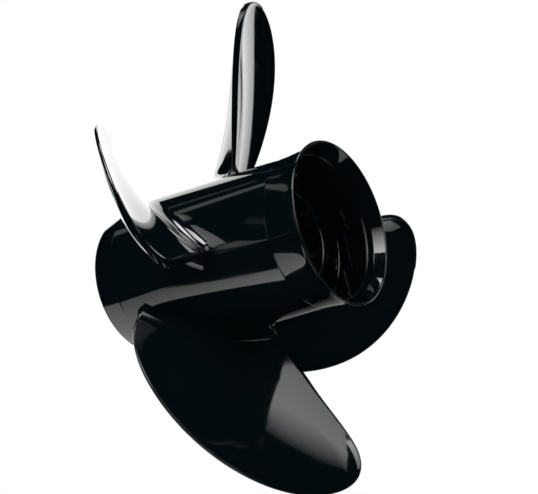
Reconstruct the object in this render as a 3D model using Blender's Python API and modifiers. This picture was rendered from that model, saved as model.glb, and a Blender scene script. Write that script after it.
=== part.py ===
"""Outboard motor propeller: four blades on a hollow exhaust hub, right-handed.

Metres. The shaft line is the X axis and +X points aft, the way the exhaust leaves.
The origin is on the shaft line, at the front face of the splined sleeve, which takes the thrust.
Places along the shaft are measured from the front edge of the outer hub, and a parent empty shifts them.
Angles about the shaft run from +Z towards -Y.
"""

import math

import bmesh
import bpy
from mathutils import Vector

MM = 0.001
GAP = 0.3 * MM

# Driving dimensions of the whole propeller
BLADES = 4
TIP_RADIUS = 174.6 * MM
PITCH = 426 * MM
HUB_LENGTH = 179 * MM

# Outer hub: a collar that widens to a shoulder, then a barrel that tapers aft
FRONT_RADIUS = 52.4 * MM
SHOULDER_PLACE = 21.4 * MM
SHOULDER_RADIUS = 58 * MM
BARREL_AFT_RADIUS = 53.2 * MM
BARREL_WALL = 4 * MM
EDGE_ROUNDING = 1.2 * MM

# Flared ring at the aft end
RING_START = 152.5 * MM
LIP_PLACE = 176.5 * MM
LIP_RADIUS = 58.3 * MM
RIM_RADIUS = 57 * MM
RIM_WIDTH = 1.4 * MM
FLARE_SOFTNESS = 0.8
THROAT_PLACE = 167 * MM
THROAT_RADIUS = 50.9 * MM

# Inner hub, bush and sleeve
INNER_FRONT = 9 * MM
INNER_AFT = 142 * MM
INNER_RADIUS_FRONT = 33 * MM
INNER_RADIUS_AFT = 36.3 * MM
FRONT_BORE = 24 * MM
BUSH_BORE = 27 * MM
AFT_BORE = 31.5 * MM
BUSH_FRONT = 30 * MM
BUSH_AFT = 108 * MM
SLEEVE_RADIUS = 18.5 * MM
SLEEVE_FRONT = 22 * MM
SLEEVE_AFT = 118 * MM
SPLINES = 15
SPLINE_ROOT_RADIUS = 14.2 * MM
SPLINE_TIP_RADIUS = 12.6 * MM

# Ribs between inner hub and barrel
RIBS = 4
RIB_FRONT = 24 * MM
RIB_AFT = 142 * MM
RIB_THICKNESS = 5.5 * MM

# Blade: arcs are measured round the shaft from the blade's own zero line
BLADE_CENTRE = 80.5 * MM
BLADE_FOOT = 57.3 * MM
RAKE_LINEAR = 3.5 * MM
RAKE_SQUARE = 37.3 * MM
ROOT_CHORD = 58.8 * MM
WIDEST_CHORD = 115.4 * MM
WIDEST_AT = 0.706
TIP_ROUNDNESS = 9.3
ROOT_SKEW = -8.8 * MM
TIP_SKEW = 47.2 * MM
SKEW_POWER = 2.2
ROOT_THICKNESS = 12 * MM
TIP_THICKNESS = 4 * MM
THINNING_POWER = 1.5
EDGE_THICKNESS = 1.8 * MM
EDGE_THINNING = 0.35
CUP_DEPTH = 3.0 * MM
CUP_SHARE = 0.14
FILLET = 8 * MM
EDGE_FILLET_SHARE = 0.3
FOOT_BLEND = 3

# The first blade's tip points straight up, and each rib stands a little past the middle of a blade's root
FIRST_BLADE_ANGLE = -(ROOT_SKEW + TIP_SKEW) / TIP_RADIUS
RIB_PAST_ROOT = math.radians(6.4)
FIRST_RIB_ANGLE = FIRST_BLADE_ANGLE + ROOT_SKEW / BLADE_FOOT + RIB_PAST_ROOT

# Facets
ROUND_STEPS = 64
ROUNDING_STEPS = 4
FLARE_STEPS = 6
CHORD_CUTS = 17
SPAN_CUTS = 13
THICKNESS_CUTS = 3
BLUNTNESS = 0.997
MERGE_DISTANCE = 0.01 * MM

# Colours
PAINT_COLOUR = (0.006, 0.007, 0.008)
RUBBER_COLOUR = (0.012, 0.012, 0.012)
BRASS_COLOUR = (0.55, 0.38, 0.14)


def clear_scene():
    for obj in list(bpy.data.objects):
        bpy.data.objects.remove(obj)


def new_collection(name):
    collection = bpy.data.collections.new(name)
    bpy.context.scene.collection.children.link(collection)
    return collection


def new_material(name, colour, roughness, metallic):
    material = bpy.data.materials.new(name)
    material.use_nodes = True
    shader = material.node_tree.nodes["Principled BSDF"]
    shader.inputs["Base Color"].default_value = (*colour, 1)
    shader.inputs["Roughness"].default_value = roughness
    shader.inputs["Metallic"].default_value = metallic
    material.diffuse_color = (*colour, 1)
    return material


def add_object(name, data, collection, material):
    obj = bpy.data.objects.new(name, data)
    obj.parent = collection.objects["hub_front_edge"]
    if not data.materials:
        data.materials.append(material)
    collection.objects.link(obj)
    return obj


def between(first, second, share):
    return first + (second - first) * share


def rounding(centre_x, centre_r, radius, start_degrees, end_degrees):
    """Points (x, r) of a round stretch of a turned profile."""
    points = []
    for i in range(ROUNDING_STEPS + 1):
        angle = math.radians(between(start_degrees, end_degrees, i / ROUNDING_STEPS))
        points.append((centre_x + radius * math.cos(angle), centre_r + radius * math.sin(angle)))
    return points


def turned(name, profile, collection, material):
    """A closed profile of (x, r) points, turned about the X axis. Its outer side runs from front to aft."""
    mesh = bpy.data.meshes.new(name)
    bm = bmesh.new()
    corners = [bm.verts.new((x, 0, r)) for x, r in profile]
    for first, second in zip(corners, corners[1:] + corners[:1]):
        bm.edges.new((first, second))
    bm.to_mesh(mesh)
    bm.free()
    obj = add_object(name, mesh, collection, material)
    screw = obj.modifiers.new("Turn", "SCREW")
    screw.axis = "X"
    screw.steps = screw.render_steps = ROUND_STEPS
    screw.use_merge_vertices = True
    screw.merge_threshold = MERGE_DISTANCE
    screw.use_smooth_shade = True
    screw.use_normal_flip = True
    return obj


def barrel_radius(x):
    """Outer radius of the tapering barrel, aft of its shoulder."""
    share = (x - SHOULDER_PLACE) / (RING_START - SHOULDER_PLACE)
    return between(SHOULDER_RADIUS, BARREL_AFT_RADIUS, share)


def barrel(collection, material):
    end = RING_START - GAP
    profile = rounding(EDGE_ROUNDING, FRONT_RADIUS - EDGE_ROUNDING, EDGE_ROUNDING, 180, 90)
    profile += [
        (SHOULDER_PLACE, SHOULDER_RADIUS),
        (end, BARREL_AFT_RADIUS),
        (end, BARREL_AFT_RADIUS - BARREL_WALL),
        (SHOULDER_PLACE, SHOULDER_RADIUS - BARREL_WALL),
        (0, FRONT_RADIUS - BARREL_WALL),
    ]
    return turned("exhaust_barrel", profile, collection, material)


def flare_radius(share):
    """Outer radius along the ring: an S from the barrel's end to the lip."""
    rise = (1 - math.cos(math.pi * share**FLARE_SOFTNESS)) / 2
    return between(BARREL_AFT_RADIUS, LIP_RADIUS, rise)


def diffuser_ring(collection, material):
    profile = []
    for i in range(FLARE_STEPS + 1):
        share = i / FLARE_STEPS
        profile.append((between(RING_START, LIP_PLACE, share), flare_radius(share)))
    profile += [
        (HUB_LENGTH, RIM_RADIUS),
        (HUB_LENGTH, RIM_RADIUS - RIM_WIDTH),
        (THROAT_PLACE, THROAT_RADIUS),
        (RING_START, BARREL_AFT_RADIUS - BARREL_WALL),
    ]
    return turned("diffuser_ring", profile, collection, material)


def inner_hub(collection, material):
    bush_seat_front = BUSH_FRONT - GAP
    bush_seat_aft = BUSH_AFT + GAP
    profile = [
        (INNER_FRONT, FRONT_BORE),
        (INNER_FRONT, INNER_RADIUS_FRONT),
        (INNER_AFT, INNER_RADIUS_AFT),
        (INNER_AFT, AFT_BORE),
        (bush_seat_aft, AFT_BORE),
        (bush_seat_aft, BUSH_BORE),
        (bush_seat_front, BUSH_BORE),
        (bush_seat_front, FRONT_BORE),
    ]
    return turned("inner_hub", profile, collection, material)


def inner_radius(x):
    share = (x - INNER_FRONT) / (INNER_AFT - INNER_FRONT)
    return between(INNER_RADIUS_FRONT, INNER_RADIUS_AFT, share)


def ribs(collection, material):
    """Flat webs from the inner hub out to the barrel's bore."""
    mesh = bpy.data.meshes.new("hub_rib")
    bm = bmesh.new()
    bmesh.ops.create_cube(bm, size=1)
    half = RIB_THICKNESS / 2
    for vert in bm.verts:
        x = RIB_FRONT if vert.co.x < 0 else RIB_AFT
        side = half if vert.co.y > 0 else -half
        foot = inner_radius(x) + GAP
        bore = barrel_radius(x) - BARREL_WALL - GAP
        top = math.sqrt(bore**2 - half**2) - GAP
        vert.co = Vector((x, side, top if vert.co.z > 0 else foot))
    bm.to_mesh(mesh)
    bm.free()
    for number in range(RIBS):
        rib = add_object(f"hub_rib_{number + 1}", mesh, collection, material)
        rib.rotation_euler.x = FIRST_RIB_ANGLE + number * math.tau / RIBS


def rubber_bush(collection, material):
    inner = SLEEVE_RADIUS + GAP
    outer = BUSH_BORE - GAP
    profile = [(BUSH_FRONT, inner), (BUSH_FRONT, outer), (BUSH_AFT, outer), (BUSH_AFT, inner)]
    return turned("rubber_bush", profile, collection, material)


def closed_outline(curve, points):
    spline = curve.splines.new("POLY")
    spline.points.add(len(points) - 1)
    for point, (across, up) in zip(spline.points, points):
        point.co = (across, up, 0, 1)
    spline.use_cyclic_u = True


def splined_sleeve(collection, material):
    """A tube whose bore has the shaft's splines: a flat outline with a toothed hole, drawn along the shaft."""
    flanks = (SPLINE_TIP_RADIUS, SPLINE_TIP_RADIUS, SPLINE_ROOT_RADIUS, SPLINE_ROOT_RADIUS)
    count = SPLINES * len(flanks)
    outside = []
    toothed = []
    for i in range(count):
        angle = math.tau * (i + 0.5) / count
        across, up = math.sin(angle), math.cos(angle)
        bore = flanks[i % len(flanks)]
        outside.append((SLEEVE_RADIUS * across, SLEEVE_RADIUS * up))
        toothed.append((bore * across, bore * up))
    curve = bpy.data.curves.new("splined_sleeve", "CURVE")
    curve.dimensions = "2D"
    curve.fill_mode = "BOTH"
    curve.extrude = (SLEEVE_AFT - SLEEVE_FRONT) / 2
    closed_outline(curve, outside)
    closed_outline(curve, toothed)
    sleeve = add_object("splined_sleeve", curve, collection, material)
    sleeve.location.x = (SLEEVE_FRONT + SLEEVE_AFT) / 2
    sleeve.rotation_euler.y = math.pi / 2
    return sleeve


def blade_point(along_chord, along_span, through):
    """One point of the blade, from its place in a block: each argument runs from -1 to 1.

    The chord runs from the leading edge (-1) to the trailing edge (1), the span from the foot to the tip,
    and the thickness from the suction face (-1), which looks forward, to the pressure face (1).
    """
    # Stations and points lie closer together near the ends of the span and of the chord
    share = (1 + math.sin(along_span * math.pi / 2)) / 2
    place = math.sin(along_chord * math.pi / 2)
    radius = between(BLADE_FOOT, TIP_RADIUS, share)
    height = radius - BLADE_FOOT

    full_chord = between(WIDEST_CHORD, ROOT_CHORD, ((share - WIDEST_AT) / WIDEST_AT) ** 2)
    chord = full_chord * math.sqrt(1 - (BLUNTNESS * share) ** TIP_ROUNDNESS)
    middle = ROOT_SKEW + TIP_SKEW * share**SKEW_POWER

    # The pressure face is nearly flat, and the suction face holds the section's swell
    swell = between(TIP_THICKNESS, ROOT_THICKNESS, (1 - share) ** THINNING_POWER) * max(1 - place**2, 0)
    edge = EDGE_THICKNESS * (1 - EDGE_THINNING * share)
    fillet_drop = max(FILLET - height, 0)
    fillet = FILLET - math.sqrt(max(FILLET**2 - fillet_drop**2, 0))
    half = (swell + edge) / 2 + fillet
    # The cup turns the trailing edge back to the helix that the leading edge lies on
    cup_lift = max((place - 1) / CUP_SHARE / 2 + 1, 0) ** 2
    cup = CUP_DEPTH * share * (cup_lift - (1 + place) / 2)
    offset = through * half - swell / 2 + cup
    at_edge = abs(along_chord) > 1 - 1 / CHORD_CUTS
    edge_reach = edge / 2 + fillet * EDGE_FILLET_SHARE
    edge_round = edge_reach * math.sqrt(max(1 - through**2, 0)) if at_edge else 0
    arc_place = middle + place * (chord / 2 + edge_round)

    pitch_angle = math.atan2(PITCH, math.tau * radius)
    turn = arc_place / radius - offset * math.sin(pitch_angle) / radius
    rake = RAKE_LINEAR * share + RAKE_SQUARE * share**2
    x = BLADE_CENTRE + rake + PITCH * arc_place / radius / math.tau + offset * math.cos(pitch_angle)
    # The foot follows the barrel's taper
    seat = barrel_radius(x) + GAP
    radius += (seat - BLADE_FOOT) * (1 - share) ** FOOT_BLEND
    return Vector((x, -radius * math.sin(turn), radius * math.cos(turn)))


def blades(collection, material):
    bm = bmesh.new()
    bmesh.ops.create_cube(bm, size=2)
    for axis, cuts in ((0, CHORD_CUTS), (1, SPAN_CUTS), (2, THICKNESS_CUTS)):
        across = [e for e in bm.edges if abs((e.verts[0].co - e.verts[1].co)[axis]) > 1]
        bmesh.ops.subdivide_edges(bm, edges=across, cuts=cuts, use_grid_fill=True)
    for vert in bm.verts:
        vert.co = blade_point(*vert.co)
    bmesh.ops.reverse_faces(bm, faces=bm.faces)
    mesh = bpy.data.meshes.new("blade")
    bm.to_mesh(mesh)
    bm.free()
    mesh.shade_smooth()
    for number in range(BLADES):
        blade = add_object(f"blade_{number + 1}", mesh, collection, material)
        blade.rotation_euler.x = FIRST_BLADE_ANGLE + number * math.tau / BLADES


def main():
    clear_scene()
    collection = new_collection("outboard_propeller")
    front_edge = bpy.data.objects.new("hub_front_edge", None)
    front_edge.location.x = -SLEEVE_FRONT
    collection.objects.link(front_edge)
    paint = new_material("black_gloss_paint", PAINT_COLOUR, 0.12, 0.0)
    rubber = new_material("rubber", RUBBER_COLOUR, 0.7, 0.0)
    brass = new_material("brass", BRASS_COLOUR, 0.35, 1.0)
    barrel(collection, paint)
    diffuser_ring(collection, paint)
    inner_hub(collection, paint)
    ribs(collection, paint)
    blades(collection, paint)
    rubber_bush(collection, rubber)
    splined_sleeve(collection, brass)


main()
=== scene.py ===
"""Looks of the outboard motor propeller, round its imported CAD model.

Metres, in the part's frame: the shaft line is the X axis, +X points aft, and +Z up through the first
blade's tip. Places along the shaft are measured from the front edge of the outer hub, and `placed` moves
each piece to the part's own origin. Angles about the shaft run from +Z towards -Y.
"""

import math

import bmesh
import bpy
from mathutils import Matrix, Vector


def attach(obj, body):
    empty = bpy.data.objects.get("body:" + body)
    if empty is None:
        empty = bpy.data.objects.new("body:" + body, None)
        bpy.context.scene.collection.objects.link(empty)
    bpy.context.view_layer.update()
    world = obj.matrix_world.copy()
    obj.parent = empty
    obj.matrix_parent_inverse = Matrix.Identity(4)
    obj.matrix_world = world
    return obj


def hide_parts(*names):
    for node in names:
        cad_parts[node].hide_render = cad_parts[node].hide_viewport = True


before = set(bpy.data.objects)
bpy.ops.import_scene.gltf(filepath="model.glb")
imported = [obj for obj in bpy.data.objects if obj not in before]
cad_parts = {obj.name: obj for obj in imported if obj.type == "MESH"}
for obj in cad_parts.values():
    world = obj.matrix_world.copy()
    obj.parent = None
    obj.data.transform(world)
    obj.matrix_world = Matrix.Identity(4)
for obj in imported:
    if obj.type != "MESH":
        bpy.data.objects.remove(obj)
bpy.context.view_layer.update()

MM = 0.001

# Main dimensions of the whole propeller
BLADES = 4
TIP_RADIUS = 174.6 * MM
PITCH = 426 * MM
HUB_LENGTH = 179 * MM
SLEEVE_FRONT = 22 * MM

# Outer hub: a collar that widens to a shoulder, a barrel that tapers aft, and a flared ring
FRONT_RADIUS = 52.4 * MM
SHOULDER_PLACE = 21.4 * MM
SHOULDER_RADIUS = 58 * MM
SHOULDER_ROUNDING = 5 * MM
BARREL_AFT_RADIUS = 53.2 * MM
BARREL_WALL = 4 * MM
FRONT_ROUNDING = 1.2 * MM
BORE_STEP_PLACE = 143 * MM
BORE_STEP = 0.6 * MM
RING_START = 152.5 * MM
CREASE_ROUNDING = 0.3 * MM
RING_LIFT = 0.4 * MM
RING_LIFT_LENGTH = 1.2 * MM
RING_RISE = 2.9 * MM
RING_CURVE = 1.7
LIP_PLACE = 177.5 * MM
LIP_FLICK = 0.4 * MM
LIP_FLICK_POWER = 12
RIM_RADIUS = 57.5 * MM
RIM_WIDTH = 2 * MM
RIM_ROUNDING = 0.8 * MM
MOUTH_PLACE = 171 * MM
MOUTH_RADIUS = 52.2 * MM
MOUTH_ROUNDING = 2 * MM
THROAT_PLACE = 166.5 * MM
THROAT_RADIUS = 51.2 * MM
THROAT_LEDGE = 1.1 * MM
THROAT_ROUNDING = 0.5 * MM

# Inner hub, ribs, bush and sleeve
INNER_FRONT = 9 * MM
INNER_AFT = 142 * MM
INNER_RADIUS_FRONT = 33 * MM
INNER_RADIUS_AFT = 36.3 * MM
INNER_ROUNDING = 1.3 * MM
FRONT_BORE = 24 * MM
BUSH_BORE = 27 * MM
AFT_BORE = 31.5 * MM
BUSH_FRONT = 30 * MM
BUSH_AFT = 108 * MM
BUSH_HOLLOW = 2.5 * MM
SLEEVE_RADIUS = 18.5 * MM
SLEEVE_AFT = 118 * MM
SLEEVE_CHAMFER = 0.8 * MM
SPLINES = 15
SPLINE_ROOT_RADIUS = 14.2 * MM
SPLINE_TIP_RADIUS = 12.6 * MM
SPLINE_FLANK = 1.1
RIBS = 4
RIB_FRONT = 24 * MM
RIB_AFT = 142 * MM
RIB_THICKNESS = 5.5 * MM
RIB_FILLET = 5 * MM

# Blade's place and outline: arcs are measured round the shaft from the blade's own zero line, and a share
# of the span runs from 0 at the foot to 1 at the tip
BLADE_CENTRE = 80.5 * MM
BLADE_FOOT = 57.3 * MM
RAKE_LINEAR = 3.5 * MM
RAKE_SQUARE = 37.3 * MM
ROOT_CHORD = 58.8 * MM
WIDEST_CHORD = 115.4 * MM
WIDEST_AT = 0.706
TIP_ROUNDNESS = 9.3
BLUNTNESS = 0.9995
ROOT_SKEW = -8.8 * MM
TIP_SKEW = 47.2 * MM
SKEW_POWER = 2.2
OUTLINE_STEP = 0.0002

# Blade's section: swell, leading edge, blunt trailing edge that leans, cup and twist
ROOT_THICKNESS = 12 * MM
TIP_THICKNESS = 4 * MM
THINNING_POWER = 1.5
TIP_THINNING_POWER = 10
LEADING_THICKNESS = 2.8 * MM
LEADING_REACH = 0.9 * MM
TRAILING_THICKNESS = 4.3 * MM
TRAILING_THINNING = 0.6 * MM
TRAILING_THINNING_POWER = 10
TRAILING_LEAN = 0.8
TRAILING_LEAN_POWER = 12
TRAILING_REACH = 0.6 * MM
TRAILING_POWER = 3
CUP_DEPTH = 2.4 * MM
CUP_SHARE = 0.14
TWIST = 17 * MM
TWIST_ZERO = 0.3
TWIST_POWER = 2

# Blade's foot on the hub
FILLET = 9 * MM
EDGE_FILLET_SHARE = 0.3
FOOT_BLEND = 3
SINK = 0.02 * MM

# The first blade's tip points straight up, and each rib stands a little past the middle of a blade's root
FIRST_BLADE_ANGLE = -(ROOT_SKEW + TIP_SKEW) / TIP_RADIUS
RIB_PAST_ROOT = math.radians(6.4)
FIRST_RIB_ANGLE = FIRST_BLADE_ANGLE + ROOT_SKEW / BLADE_FOOT + RIB_PAST_ROOT

# Facets
TURNED_STEPS = 240
ROUNDING_STEPS = 6
EDGE_SUPPORT = 0.25 * MM
FLARE_STEPS = 100
CHORD_CUTS = 95
SPAN_CUTS = 79
THICKNESS_CUTS = 11
RIB_CUTS = 29
MERGE_DISTANCE = 0.001 * MM
SHARP_ANGLE = math.radians(40)


def between(first, second, share):
    """The value that lies that share of the way from the first to the second."""
    return first + (second - first) * share


def placed(name, mesh, material, replaced):
    """A piece that stands for CAD nodes, moved from the hub's front edge to the part's own origin."""
    mesh.transform(Matrix.Translation((-SLEEVE_FRONT, 0, 0)))
    mesh.shade_smooth()
    mesh.set_sharp_from_angle(angle=SHARP_ANGLE)
    mesh.materials.append(material)
    obj = bpy.data.objects.new(name, mesh)
    bpy.context.scene.collection.objects.link(obj)
    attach(obj, "root")
    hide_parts(*replaced)


def mesh_from(name, bm):
    """A new mesh with what the bmesh holds, which is then freed."""
    mesh = bpy.data.meshes.new(name)
    bm.to_mesh(mesh)
    bm.free()
    return mesh


def rounded(corners):
    """The points of a closed profile of (x, r, rounding) corners."""
    points = []
    for before, corner, after in zip(corners[-1:] + corners[:-1], corners, corners[1:] + corners[:1]):
        here = Vector(corner[:2])
        rounding = corner[2]
        if not rounding:
            points.append(here)
            continue
        to_before = (Vector(before[:2]) - here).normalized()
        to_after = (Vector(after[:2]) - here).normalized()
        half_angle = to_before.angle(to_after) / 2
        reach = rounding / math.tan(half_angle)
        centre = here + (to_before + to_after).normalized() * rounding / math.sin(half_angle)
        first = here + to_before * reach
        last = here + to_after * reach
        points.append(first + to_before * EDGE_SUPPORT)
        for i in range(ROUNDING_STEPS + 1):
            spoke = (first - centre).normalized().slerp((last - centre).normalized(), i / ROUNDING_STEPS)
            points.append(centre + spoke * rounding)
        points.append(last + to_after * EDGE_SUPPORT)
    return points


def turned(corners):
    """A closed profile turned about the shaft line."""
    bm = bmesh.new()
    verts = [bm.verts.new((x, 0, r)) for x, r in rounded(corners)]
    edges = [bm.edges.new(pair) for pair in zip(verts, verts[1:] + verts[:1])]
    bmesh.ops.spin(
        bm, geom=verts + edges, cent=(0, 0, 0), axis=(1, 0, 0), dvec=(0, 0, 0),
        angle=math.tau, steps=TURNED_STEPS, use_merge=True,
    )
    bmesh.ops.remove_doubles(bm, verts=bm.verts, dist=MERGE_DISTANCE)
    bmesh.ops.recalc_face_normals(bm, faces=bm.faces)
    return bm


def barrel_radius(x):
    """Outer radius of the tapering barrel, aft of its shoulder."""
    share = (x - SHOULDER_PLACE) / (RING_START - SHOULDER_PLACE)
    return between(SHOULDER_RADIUS, BARREL_AFT_RADIUS, share)


def inner_radius(x):
    """Outer radius of the inner hub's tube, which widens aft."""
    share = (x - INNER_FRONT) / (INNER_AFT - INNER_FRONT)
    return between(INNER_RADIUS_FRONT, INNER_RADIUS_AFT, share)


def ring_radius(share):
    """Outer radius along the ring: it stands a little proud of the barrel and turns out more and more."""
    along = share * (LIP_PLACE - RING_START)
    lift = RING_LIFT * math.sin(min(along / RING_LIFT_LENGTH, 1) * math.pi / 2)
    return BARREL_AFT_RADIUS + lift + RING_RISE * share**RING_CURVE + LIP_FLICK * share**LIP_FLICK_POWER


def outer_hub(material):
    """Collar, barrel and flared ring are one casting, with a crease where the ring starts."""
    corners = [
        (0, FRONT_RADIUS, FRONT_ROUNDING),
        (SHOULDER_PLACE, SHOULDER_RADIUS, SHOULDER_ROUNDING),
        (RING_START, BARREL_AFT_RADIUS, CREASE_ROUNDING),
    ]
    for i in range(1, FLARE_STEPS + 1):
        share = i / FLARE_STEPS
        corners.append((between(RING_START, LIP_PLACE, share), ring_radius(share), 0))
    step_bore = barrel_radius(BORE_STEP_PLACE) - BARREL_WALL
    corners += [
        (HUB_LENGTH, RIM_RADIUS, RIM_ROUNDING),
        (HUB_LENGTH, RIM_RADIUS - RIM_WIDTH, RIM_ROUNDING),
        (MOUTH_PLACE, MOUTH_RADIUS, MOUTH_ROUNDING),
        (THROAT_PLACE, THROAT_RADIUS, THROAT_ROUNDING),
        (THROAT_PLACE, THROAT_RADIUS - THROAT_LEDGE, THROAT_ROUNDING),
        (BORE_STEP_PLACE + BORE_STEP, step_bore + BORE_STEP, BORE_STEP),
        (BORE_STEP_PLACE, step_bore, BORE_STEP),
        (SHOULDER_PLACE, SHOULDER_RADIUS - BARREL_WALL, SHOULDER_ROUNDING),
        (0, FRONT_RADIUS - BARREL_WALL, FRONT_ROUNDING),
    ]
    mesh = mesh_from("outer_hub", turned(corners))
    placed("outer_hub", mesh, material, ["exhaust_barrel", "diffuser_ring"])


def inner_hub(material):
    """The tube on the shaft line, with a seat for the bush and a wider bore behind it."""
    corners = [
        (INNER_FRONT, FRONT_BORE, INNER_ROUNDING),
        (INNER_FRONT, INNER_RADIUS_FRONT, INNER_ROUNDING),
        (INNER_AFT, INNER_RADIUS_AFT, INNER_ROUNDING),
        (INNER_AFT, AFT_BORE, INNER_ROUNDING),
        (BUSH_AFT, AFT_BORE, INNER_ROUNDING),
        (BUSH_AFT, BUSH_BORE, 0),
        (BUSH_FRONT, BUSH_BORE, 0),
        (BUSH_FRONT, FRONT_BORE, INNER_ROUNDING),
    ]
    mesh = mesh_from("inner_tube", turned(corners))
    placed("inner_tube", mesh, material, ["inner_hub"])


def bush(material):
    """The rubber is moulded hollow at both ends."""
    middle = (SLEEVE_RADIUS + BUSH_BORE) / 2
    corners = [
        (BUSH_FRONT, BUSH_BORE, 0),
        (BUSH_AFT, BUSH_BORE, 0),
        (BUSH_AFT - BUSH_HOLLOW, middle, BUSH_HOLLOW),
        (BUSH_AFT, SLEEVE_RADIUS, 0),
        (BUSH_FRONT, SLEEVE_RADIUS, 0),
        (BUSH_FRONT + BUSH_HOLLOW, middle, BUSH_HOLLOW),
    ]
    mesh = mesh_from("drive_bush", turned(corners))
    placed("drive_bush", mesh, material, ["rubber_bush"])


def sleeve(material):
    """A turned sleeve whose bore is then cut to the shaft's splines, short of the chamfered ends."""
    corners = [
        (SLEEVE_FRONT, SLEEVE_RADIUS, SLEEVE_CHAMFER),
        (SLEEVE_AFT, SLEEVE_RADIUS, SLEEVE_CHAMFER),
        (SLEEVE_AFT, SPLINE_ROOT_RADIUS, SLEEVE_CHAMFER),
        (SLEEVE_FRONT, SPLINE_ROOT_RADIUS, SLEEVE_CHAMFER),
    ]
    bm = turned(corners)
    reach = SLEEVE_CHAMFER / 2
    for vert in bm.verts:
        radius = math.hypot(vert.co.y, vert.co.z)
        if radius > SPLINE_ROOT_RADIUS + reach:
            continue
        turn = math.atan2(vert.co.y, vert.co.z) * SPLINES
        tooth = min(max(0.5 + SPLINE_FLANK * math.cos(turn), 0), 1)
        end = min(vert.co.x - SLEEVE_FRONT, SLEEVE_AFT - vert.co.x)
        depth = (SPLINE_ROOT_RADIUS - SPLINE_TIP_RADIUS) * tooth * min(end / SLEEVE_CHAMFER, 1)
        vert.co.yz *= (radius - depth) / radius
    mesh = mesh_from("drive_sleeve", bm)
    placed("drive_sleeve", mesh, material, ["splined_sleeve"])


def subdivided_block(cuts):
    """A block from -1 to 1 along each axis, cut so many times across each."""
    bm = bmesh.new()
    bmesh.ops.create_cube(bm, size=2)
    for axis, count in enumerate(cuts):
        across = [e for e in bm.edges if abs((e.verts[0].co - e.verts[1].co)[axis]) > 1]
        bmesh.ops.subdivide_edges(bm, edges=across, cuts=count, use_grid_fill=True)
    return bm


def fillet_at(height, radius):
    """How far a fillet of that radius stands out at a height above the surface it runs into."""
    drop = min(max(radius - height, 0), radius)
    return radius - math.sqrt(radius**2 - drop**2)


def even_turn(share):
    """A place from -1 to 1 that lies closer to its neighbours near both ends."""
    return math.sin(share * math.pi / 2)


def rib_point(along, up, through):
    """One point of a rib, from its place in a block."""
    side = even_turn(through) * RIB_THICKNESS / 2
    nose = RIB_THICKNESS / 2
    x = between(RIB_FRONT + nose, RIB_AFT - nose, (1 + even_turn(along)) / 2)
    if abs(along) > 1 - 1 / RIB_CUTS:
        x += along * nose * math.cos(through * math.pi / 2)
    foot = inner_radius(x) - SINK
    bore = barrel_radius(x) - BARREL_WALL + SINK
    radius = between(foot, bore, (1 + even_turn(up)) / 2)
    stands_out = fillet_at(radius - foot, RIB_FILLET) + fillet_at(bore - radius, RIB_FILLET)
    side += even_turn(through) * stands_out
    return Vector((x, side, math.sqrt(radius**2 - side**2)))


def blade_outline(share):
    """Half the chord and the chord's middle, as arcs round the shaft."""
    full_chord = between(WIDEST_CHORD, ROOT_CHORD, ((share - WIDEST_AT) / WIDEST_AT) ** 2)
    half_chord = full_chord * math.sqrt(1 - (BLUNTNESS * share) ** TIP_ROUNDNESS) / 2
    return half_chord, ROOT_SKEW + TIP_SKEW * share**SKEW_POWER


def outward(share, side):
    """The direction, as (arc, radius), that points out of the blade's outline on one side."""
    low = max(share - OUTLINE_STEP, 0)
    high = min(share + OUTLINE_STEP, 1)
    half_low, middle_low = blade_outline(low)
    half_high, middle_high = blade_outline(high)
    arc = middle_high - middle_low + side * (half_high - half_low)
    rise = (high - low) * (TIP_RADIUS - BLADE_FOOT)
    return Vector((side * rise, -side * arc)).normalized()


def blade_edge(share, place):
    """The edge's thickness, and how far its rounding stands out, from leading (-1) to trailing (1)."""
    to_trailing = (1 + place) / 2
    trailing = TRAILING_THICKNESS - TRAILING_THINNING * share**TRAILING_THINNING_POWER
    thickness = between(LEADING_THICKNESS, trailing, to_trailing**TRAILING_POWER)
    return thickness, between(LEADING_REACH, TRAILING_REACH, to_trailing)


def section_swell(share, place):
    """How much thicker the section is than its edge."""
    middle = between(TIP_THICKNESS, ROOT_THICKNESS, (1 - share) ** THINNING_POWER)
    return middle * max(1 - place**2, 0) * math.sqrt(1 - share**TIP_THINNING_POWER)


def section_bend(share, place, half_chord):
    """How far the section bends aft of the plain helix."""
    to_trailing = (1 + place) / 2
    # The cup turns the trailing edge back to the helix that the leading edge lies on
    cup_lift = max((place - 1) / CUP_SHARE / 2 + 1, 0) ** 2
    cup = CUP_DEPTH * share * (cup_lift - to_trailing) * half_chord * 2 / WIDEST_CHORD
    # The section's trailing part turns forward near the foot and aft farther out
    twist = TWIST * (share - TWIST_ZERO) * (1 - share) * to_trailing**TWIST_POWER
    return cup + twist


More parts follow.
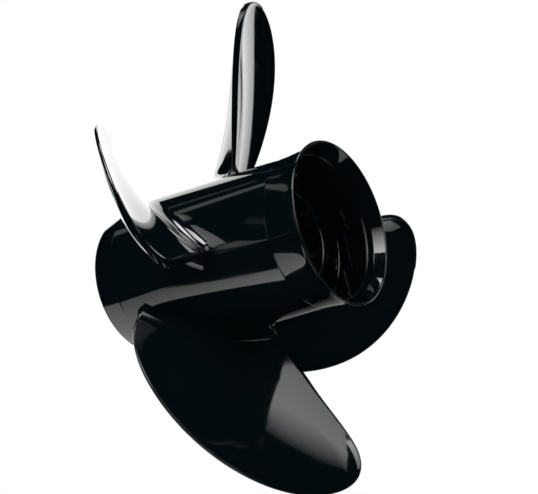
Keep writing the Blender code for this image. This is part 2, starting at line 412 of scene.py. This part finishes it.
def blade_point(along_chord, along_span, through):
    """One point of the blade, from its place in a block: each argument runs from -1 to 1.

    The chord runs from the leading edge (-1) to the trailing edge (1), the span from the foot to the tip,
    and the thickness from the suction face (-1), which looks forward, to the pressure face (1).
    """
    share = (1 + even_turn(along_span)) / 2
    place = even_turn(along_chord)
    half_chord, middle = blade_outline(share)
    edge, edge_reach = blade_edge(share, place)
    radius = between(BLADE_FOOT, TIP_RADIUS - LEADING_REACH, share)

    # The pressure face is nearly flat, and the suction face holds the section's swell
    swell = section_swell(share, place)
    fillet = fillet_at(radius - BLADE_FOOT, FILLET)
    offset = even_turn(through) * ((swell + edge) / 2 + fillet) - swell / 2
    offset += section_bend(share, place, half_chord)

    # The outline's edge is rounded over the blade's thickness, and the trailing edge leans
    lean = TRAILING_LEAN * ((1 + place) / 2) ** TRAILING_LEAN_POWER
    arc_place = middle + place * half_chord - even_turn(through) * edge / 2 * lean
    if abs(along_chord) > 1 - 1 / CHORD_CUTS or along_span > 1 - 1 / SPAN_CUTS:
        to_leading = outward(share, -1)
        to_trailing = outward(share, 1)
        out = (to_leading * (1 - place) + to_trailing * (1 + place)).normalized()
        reach = (edge_reach + fillet * EDGE_FILLET_SHARE) * math.cos(through * math.pi / 2)
        arc_place += out.x * reach
        radius += out.y * reach
        offset += lean * reach

    pitch_angle = math.atan2(PITCH, math.tau * radius)
    turn = arc_place / radius - offset * math.sin(pitch_angle) / radius
    rake = RAKE_LINEAR * share + RAKE_SQUARE * share**2
    x = BLADE_CENTRE + rake + PITCH * arc_place / radius / math.tau + offset * math.cos(pitch_angle)
    # The foot follows the barrel's taper
    seat = barrel_radius(x) - SINK
    radius += (seat - BLADE_FOOT) * (1 - share) ** FOOT_BLEND
    return Vector((x, -radius * math.sin(turn), radius * math.cos(turn)))


def ring_of_pieces(name, node, cuts, point, count, first_angle, material):
    """The same block-made piece, count times round the shaft."""
    bm = subdivided_block(cuts)
    for vert in bm.verts:
        vert.co = point(*vert.co)
    bm.normal_update()
    bmesh.ops.recalc_face_normals(bm, faces=bm.faces)
    first = mesh_from(name, bm)
    for number in range(1, count + 1):
        mesh = first.copy()
        mesh.transform(Matrix.Rotation(first_angle + (number - 1) * math.tau / count, 4, "X"))
        placed(f"{name}_{number}", mesh, material, [f"{node}_{number}"])
    bpy.data.meshes.remove(first)


# Camera of the photograph
CAMERA_PLACE = Vector((0.5196, -0.6191, -0.2074))
CAMERA_FORWARD = Vector((-0.545, 0.7956, 0.2645)).normalized()
CAMERA_UP = Vector((0.2476, -0.1487, 0.9574))
CAMERA_LENS = 74.66
CAMERA_SENSOR = 36


def add_camera():
    """The photograph's camera, behind the propeller, below it and to port."""
    data = bpy.data.cameras.new("camera")
    data.lens = CAMERA_LENS
    data.sensor_width = CAMERA_SENSOR
    camera = bpy.data.objects.new("camera", data)
    right = CAMERA_FORWARD.cross(CAMERA_UP).normalized()
    up = right.cross(CAMERA_FORWARD)
    turn = Matrix((right, up, -CAMERA_FORWARD)).transposed()
    camera.matrix_world = Matrix.Translation(CAMERA_PLACE) @ turn.to_4x4()
    bpy.context.scene.collection.objects.link(camera)
    bpy.context.scene.camera = camera


# Studio: lamps and panels are patches of a sphere round the propeller
STUDIO_CENTRE = Vector((0.06, 0, 0))
STUDIO_RADIUS = 3
PATCH_CUTS = 10
FLOOR_HEIGHT = -0.24
FLOOR_RADIUS = 2.3
FLOOR_SEGMENTS = 96
BACKDROP_RADIUS = 7

# Each patch's lower left, lower right, upper left and upper right corner, as longitude, latitude and glow.
# Longitude runs from +X towards +Y, and latitude from level to straight up, both in degrees.
PATCHES = {
    "back_wall": ((100, -4, 1.2), (152, -4, 1.7), (98, 70, 1.7), (148, 60, 1.9)),
    "back_right": ((84, -8, 2.1), (100, -8, 2.6), (88, 28, 2.1), (100, 28, 2.4)),
    "back_left": ((152, 8, 3), (190, 8, 3), (149, 30, 2.4), (167, 25, 3)),
    "left_strip": ((200, 36, 0.5), (209, 36, 0.5), (200, 60, 0.7), (209, 60, 0.7)),
    "left_faint_strip": ((179, 52, 0.2), (185, 52, 0.2), (179, 61, 0.2), (185, 61, 0.2)),
    "right_low": ((-35, 14, 3), (-15, -6, 3), (-8, 33.5, 3.6), (12, 15, 3.6)),
    "right_fade": ((-8, 33.5, 3.6), (12, 15, 3.6), (13, 42, 0.1), (32, 24, 0.1)),
    "right_high": ((-31, 21, 7), (-19, 25, 7), (-33, 52, 2), (-15, 52, 2)),
    "front": ((-80, 3, 0.3), (-66, 3, 0.3), (-80, 39, 10), (-66, 39, 10)),
    "front_top": ((-106, 40, 14), (-73, 40, 20), (-114, 70, 6), (-76, 70, 10)),
    "overhead": ((-180, 79, 4), (180, 79, 4), (-180, 89.9, 14), (180, 89.9, 14)),
    "low_far_left": ((150, -64, 1.4), (197, -64, 2), (150, -17, 1), (197, -14, 1)),
    "low_left": ((197, -64, 2.6), (226, -64, 2.5), (197, -30, 1.8), (231, -26, 1.1)),
    "low_right": ((28, -38, 1.1), (62, -37, 2.5), (31, -31, 1.1), (62, -31, 2.5)),
    "back_low": ((112, -33, 0.03), (140, -31, 0.03), (112, -5, 0.5), (150, -5, 0.6)),
    "low_back": ((60, -70, 1.2), (108, -70, 1.2), (60, -42, 1.2), (108, -42, 1.2)),
    "aft": ((38, 4, 0.3), (64, 4, 0.3), (38, 28, 0.3), (64, 28, 0.3)),
}

# Finishes: the part of a cloudy value's range that is used, and the depth of each relief
GRAIN_LOW = 0.3
GRAIN_HIGH = 0.7
PEEL_DEPTH = 0.004 * MM
PIT_DEPTH = 0.03 * MM
MARK_DEPTH = 0.01 * MM
FLOOR_GRAIN_DEPTH = 0.2 * MM


def direction(longitude, latitude):
    """The direction from the studio's centre, from angles in degrees."""
    around = math.radians(longitude)
    up = math.radians(latitude)
    return Vector((math.cos(around) * math.cos(up), math.sin(around) * math.cos(up), math.sin(up)))


def studio_glow():
    """Light as strong as the patch's own glow attribute says, point by point."""
    material = bpy.data.materials.new("studio_glow")
    material.use_nodes = True
    nodes = material.node_tree.nodes
    links = material.node_tree.links
    nodes.remove(nodes["Principled BSDF"])
    glow = nodes.new("ShaderNodeAttribute")
    glow.attribute_name = "glow"
    emission = nodes.new("ShaderNodeEmission")
    links.new(glow.outputs["Fac"], emission.inputs["Strength"])
    links.new(emission.outputs["Emission"], nodes["Material Output"].inputs["Surface"])
    return material


def studio_patch(name, material, corners):
    """One lamp or panel, spread between its four corners."""
    bm = bmesh.new()
    bmesh.ops.create_grid(bm, x_segments=PATCH_CUTS, y_segments=PATCH_CUTS, size=1)
    layer = bm.verts.layers.float.new("glow")
    low_left, low_right, high_left, high_right = (Vector(c) for c in corners)
    for vert in bm.verts:
        across = (vert.co.x + 1) / 2
        up = (vert.co.y + 1) / 2
        low = low_left.lerp(low_right, across)
        high = high_left.lerp(high_right, across)
        longitude, latitude, glow = low.lerp(high, up)
        vert[layer] = glow
        vert.co = STUDIO_CENTRE + direction(longitude, latitude) * STUDIO_RADIUS
    mesh = mesh_from(name, bm)
    mesh.materials.append(material)
    obj = bpy.data.objects.new(name, mesh)
    obj.visible_camera = False
    obj.visible_shadow = False
    bpy.context.scene.collection.objects.link(obj)


def finish(name, metallic):
    """A new material, and the place on the piece in its own coordinates."""
    material = bpy.data.materials.new(name)
    material.use_nodes = True
    material.node_tree.nodes["Principled BSDF"].inputs["Metallic"].default_value = metallic
    place = material.node_tree.nodes.new("ShaderNodeTexCoord")
    return material, place.outputs["Object"]


def grain(material, place, scale, detail):
    """A cloudy value over the surface."""
    noise = material.node_tree.nodes.new("ShaderNodeTexNoise")
    noise.inputs["Scale"].default_value = scale
    noise.inputs["Detail"].default_value = detail
    material.node_tree.links.new(place, noise.inputs["Vector"])
    return noise.outputs["Fac"]


def shade(material, value, first, second):
    """The colour wanders between two shades with the value."""
    nodes = material.node_tree.nodes
    mix = nodes.new("ShaderNodeMix")
    mix.data_type = "RGBA"
    colours = [socket for socket in mix.inputs if socket.type == "RGBA"]
    colours[0].default_value = (*first, 1)
    colours[1].default_value = (*second, 1)
    result = next(socket for socket in mix.outputs if socket.type == "RGBA")
    material.node_tree.links.new(value, mix.inputs["Factor"])
    material.node_tree.links.new(result, nodes["Principled BSDF"].inputs["Base Color"])


def sheen_range(material, value, smooth, rough):
    """The roughness wanders between two limits with the value."""
    nodes = material.node_tree.nodes
    limits = nodes.new("ShaderNodeMapRange")
    limits.inputs["From Min"].default_value = GRAIN_LOW
    limits.inputs["From Max"].default_value = GRAIN_HIGH
    limits.inputs["To Min"].default_value = smooth
    limits.inputs["To Max"].default_value = rough
    material.node_tree.links.new(value, limits.inputs["Value"])
    material.node_tree.links.new(limits.outputs["Result"], nodes["Principled BSDF"].inputs["Roughness"])


def relief(material, value, depth):
    """The surface rises and falls with the value."""
    nodes = material.node_tree.nodes
    bump = nodes.new("ShaderNodeBump")
    bump.inputs["Distance"].default_value = depth
    material.node_tree.links.new(value, bump.inputs["Height"])
    material.node_tree.links.new(bump.outputs["Normal"], nodes["Principled BSDF"].inputs["Normal"])


def black_gloss_paint():
    """Sprayed black gloss with a faint orange peel and a sheen that isn't quite even."""
    material, place = finish("black_gloss_paint", 0)
    tone = grain(material, place, scale=35, detail=3)
    shade(material, tone, (0.0008, 0.0026, 0.0034), (0.0014, 0.0034, 0.0044))
    sheen_range(material, grain(material, place, scale=90, detail=5), smooth=0.035, rough=0.075)
    relief(material, grain(material, place, scale=420, detail=2), PEEL_DEPTH)
    return material


def bush_rubber():
    """Moulded rubber, dull and finely pitted."""
    material, place = finish("bush_rubber", 0)
    tone = grain(material, place, scale=120, detail=4)
    shade(material, tone, (0.009, 0.009, 0.009), (0.018, 0.017, 0.016))
    sheen_range(material, grain(material, place, scale=200, detail=4), smooth=0.6, rough=0.85)
    relief(material, grain(material, place, scale=1500, detail=3), PIT_DEPTH)
    return material


def turned_place(material, place):
    """The place along the shaft and the distance from it, so that a pattern runs round the shaft."""
    nodes = material.node_tree.nodes
    links = material.node_tree.links
    parts = nodes.new("ShaderNodeSeparateXYZ")
    links.new(place, parts.inputs["Vector"])
    across = nodes.new("ShaderNodeCombineXYZ")
    links.new(parts.outputs["Y"], across.inputs["Y"])
    links.new(parts.outputs["Z"], across.inputs["Z"])
    radius = nodes.new("ShaderNodeVectorMath")
    radius.operation = "LENGTH"
    links.new(across.outputs["Vector"], radius.inputs["Vector"])
    marks = nodes.new("ShaderNodeCombineXYZ")
    links.new(parts.outputs["X"], marks.inputs["X"])
    links.new(radius.outputs["Value"], marks.inputs["Y"])
    return marks.outputs["Vector"]


def sleeve_brass():
    """Turned brass: the tool's fine marks run round the shaft."""
    material, place = finish("sleeve_brass", 1)
    tone = grain(material, place, scale=60, detail=4)
    shade(material, tone, (0.28, 0.19, 0.08), (0.38, 0.27, 0.12))
    sheen_range(material, grain(material, place, scale=150, detail=4), smooth=0.22, rough=0.42)
    relief(material, grain(material, turned_place(material, place), scale=2600, detail=2), MARK_DEPTH)
    return material


def studio_floor():
    """Pale painted boards, slightly uneven in tone."""
    material, place = finish("studio_floor", 0)
    tone = grain(material, place, scale=3, detail=4)
    shade(material, tone, (0.80, 0.80, 0.80), (0.87, 0.87, 0.87))
    sheen_range(material, grain(material, place, scale=9, detail=3), smooth=0.7, rough=0.95)
    relief(material, grain(material, place, scale=60, detail=3), FLOOR_GRAIN_DEPTH)
    return material


def backdrop_white():
    """Even white light."""
    material = bpy.data.materials.new("backdrop_white")
    material.use_nodes = True
    nodes = material.node_tree.nodes
    nodes.remove(nodes["Principled BSDF"])
    emission = nodes.new("ShaderNodeEmission")
    surface = nodes["Material Output"].inputs["Surface"]
    material.node_tree.links.new(emission.outputs["Emission"], surface)
    return material


def staged(name, mesh, material):
    """A part of the studio that the camera sees and the paint doesn't mirror."""
    mesh.materials.append(material)
    obj = bpy.data.objects.new(name, mesh)
    obj.visible_glossy = False
    obj.visible_shadow = False
    bpy.context.scene.collection.objects.link(obj)
    return obj


def backdrop_and_floor():
    """A white shell round everything, and a round floor that the propeller's shadow falls on."""
    bm = bmesh.new()
    bmesh.ops.create_icosphere(bm, subdivisions=4, radius=BACKDROP_RADIUS)
    backdrop = staged("backdrop", mesh_from("backdrop", bm), backdrop_white())
    backdrop.visible_diffuse = False
    bm = bmesh.new()
    bmesh.ops.create_circle(bm, cap_ends=True, radius=FLOOR_RADIUS, segments=FLOOR_SEGMENTS)
    mesh = mesh_from("floor", bm)
    mesh.transform(Matrix.Translation((0, 0, FLOOR_HEIGHT)))
    floor = staged("floor", mesh, studio_floor())


def studio():
    """Everything round the propeller."""
    glow = studio_glow()
    for name, corners in PATCHES.items():
        studio_patch(name, glow, corners)
    backdrop_and_floor()
    bpy.context.scene.view_settings.view_transform = "Standard"


def propeller():
    """Every piece of the propeller."""
    paint = black_gloss_paint()
    outer_hub(paint)
    inner_hub(paint)
    bush(bush_rubber())
    sleeve(sleeve_brass())
    ring_of_pieces(
        "rib", "hub_rib", (RIB_CUTS, RIB_CUTS, THICKNESS_CUTS), rib_point, RIBS, FIRST_RIB_ANGLE, paint,
    )
    ring_of_pieces(
        "propeller_blade", "blade", (CHORD_CUTS, SPAN_CUTS, THICKNESS_CUTS), blade_point, BLADES,
        FIRST_BLADE_ANGLE, paint,
    )


propeller()
studio()
add_camera()
